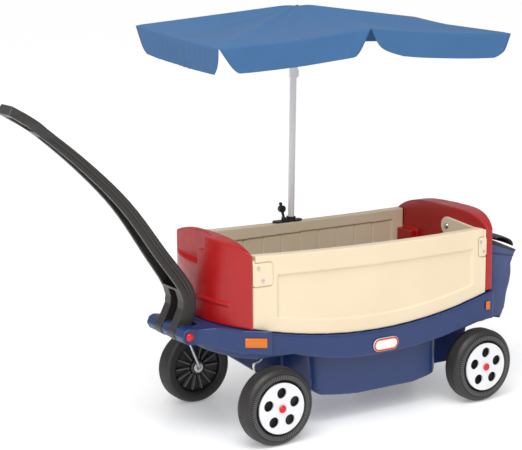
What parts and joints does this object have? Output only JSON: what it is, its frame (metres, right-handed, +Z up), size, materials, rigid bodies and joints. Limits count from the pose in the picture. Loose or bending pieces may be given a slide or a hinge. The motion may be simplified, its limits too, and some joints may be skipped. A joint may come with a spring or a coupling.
{
  "type": "wagon with pull handle",
  "caption": "children's plastic wagon on wheels with a hinged pull handle, fold-over side panel, footwell, rear storage bag and an umbrella canopy on a pole",
  "frame": {"origin": "centre of the bounding box's footprint, on the ground", "axes": "+Z up, +X from the pull handle towards the storage bag, +Y from the folding side towards the fixed side"},
  "size_m": [1.6814, 0.5752, 1.237],
  "materials": {
    "navy_plastic": "rotomoulded polyethylene, navy blue, satin",
    "red_plastic": "rotomoulded polyethylene, red, satin",
    "beige_plastic": "blow-moulded polyethylene, beige, satin",
    "handle_plastic": "injection-moulded plastic, dark grey, matt",
    "black_plastic": "injection-moulded plastic, black, matt",
    "white_plastic": "injection-moulded plastic, white, gloss",
    "red_cap": "injection-moulded plastic, red, gloss",
    "orange_reflector": "moulded reflector, amber, gloss",
    "tyre_plastic": "blow-moulded plastic tyre and wheel disc, black, satin",
    "steel": "zinc-plated steel",
    "white_tube": "powder-coated steel tube, white",
    "canopy_cloth": "woven polyester, blue",
    "bag_cloth": "woven polyester, navy blue",
    "bag_trim": "woven polyester webbing and flap, black"
  },
  "bodies": {
    "chassis": {"tub": "navy_plastic", "front_bumper": "navy_plastic", "front_wall": "red_plastic", "rear_wall": "red_plastic", "fixed_panel": "beige_plastic", "front_pivot_bolt": "steel", "rear_pivot_bolt": "steel", "hitch_pin": "steel", "hitch_cap_near": "red_cap", "hitch_cap_far": "red_cap", "umbrella_socket": "black_plastic", "badge_near": "white_plastic", "badge_far": "white_plastic", "front_reflector_near": "orange_reflector", "front_reflector_far": "orange_reflector", "rear_reflector_near": "orange_reflector", "rear_reflector_far": "orange_reflector", "rear_axle": "steel", "bag_body": "bag_cloth", "bag_strap_near": "bag_trim", "bag_strap_far": "bag_trim"},
    "folding_side": {"folding_panel": "beige_plastic", "front_arm": "beige_plastic", "rear_arm": "beige_plastic", "front_arm_screw_1": "steel", "front_arm_screw_2": "steel", "rear_arm_screw_1": "steel", "rear_arm_screw_2": "steel"},
    "pull_handle": {"handle": "handle_plastic"},
    "caster_near": {"caster_strut_near": "steel"},
    "caster_far": {"caster_strut_far": "steel"},
    "umbrella": {"umbrella_pole": "white_tube", "umbrella_runner": "white_plastic", "rib_hub": "white_plastic", "canopy": "canopy_cloth", "rib_near_front": "steel", "rib_near_middle": "steel", "rib_near_rear": "steel", "rib_far_rear": "steel", "rib_far_middle": "steel", "rib_far_front": "steel"},
    "plug": {"socket_plug": "black_plastic"},
    "bag_flap": {"bag_lid": "bag_trim"},
    "wheel_front_near": {"wheel_front_near": "tyre_plastic", "hubcap_front_near": "white_plastic", "axle_cap_front_near": "red_cap"},
    "wheel_front_far": {"wheel_front_far": "tyre_plastic", "hubcap_front_far": "white_plastic", "axle_cap_front_far": "red_cap"},
    "wheel_rear_near": {"wheel_rear_near": "tyre_plastic", "hubcap_rear_near": "white_plastic", "axle_cap_rear_near": "red_cap"},
    "wheel_rear_far": {"wheel_rear_far": "tyre_plastic", "hubcap_rear_far": "white_plastic", "axle_cap_rear_far": "red_cap"}
  },
  "joints": [
    {"name": "folding_side_swing", "type": "hinge", "parent": "chassis", "child": "folding_side", "pos_m": [0.23673, -0.04545, 0.525], "axis": [-1, 0, 0], "range_deg": [0, 180]},
    {"name": "handle_swing", "type": "hinge", "parent": "chassis", "child": "pull_handle", "pos_m": [-0.34727, -0.00045, 0.319], "axis": [0, 1, 0], "range_deg": [-72, 8]},
    {"name": "caster_near_swivel", "type": "hinge", "parent": "chassis", "child": "caster_near", "pos_m": [-0.16127, -0.20045, 0.29], "axis": [0, 0, 1], "continuous": true},
    {"name": "caster_far_swivel", "type": "hinge", "parent": "chassis", "child": "caster_far", "pos_m": [-0.16127, 0.19955, 0.29], "axis": [0, 0, 1], "continuous": true},
    {"name": "wheel_front_near_spin", "type": "hinge", "parent": "caster_near", "child": "wheel_front_near", "pos_m": [-0.14187, -0.24145, 0.115], "axis": [0, 1, 0], "continuous": true},
    {"name": "wheel_front_far_spin", "type": "hinge", "parent": "caster_far", "child": "wheel_front_far", "pos_m": [-0.14187, 0.24055, 0.115], "axis": [0, 1, 0], "continuous": true},
    {"name": "wheel_rear_near_spin", "type": "hinge", "parent": "chassis", "child": "wheel_rear_near", "pos_m": [0.61533, -0.24145, 0.115], "axis": [0, 1, 0], "continuous": true},
    {"name": "wheel_rear_far_spin", "type": "hinge", "parent": "chassis", "child": "wheel_rear_far", "pos_m": [0.61533, 0.24055, 0.115], "axis": [0, 1, 0], "continuous": true},
    {"name": "umbrella_lift", "type": "slide", "parent": "chassis", "child": "umbrella", "axis": [0.0245, 0, 0.9997], "range_m": [0, 0.115]},
    {"name": "plug_swing", "type": "hinge", "parent": "chassis", "child": "plug", "pos_m": [0.18473, 0.21755, 0.557], "axis": [0, 1, 0], "range_deg": [-50, 8]},
    {"name": "bag_flap_swing", "type": "hinge", "parent": "chassis", "child": "bag_flap", "pos_m": [0.73473, -0.00045, 0.49246], "axis": [0, -1, 0], "range_deg": [0, 100]}
  ]
}
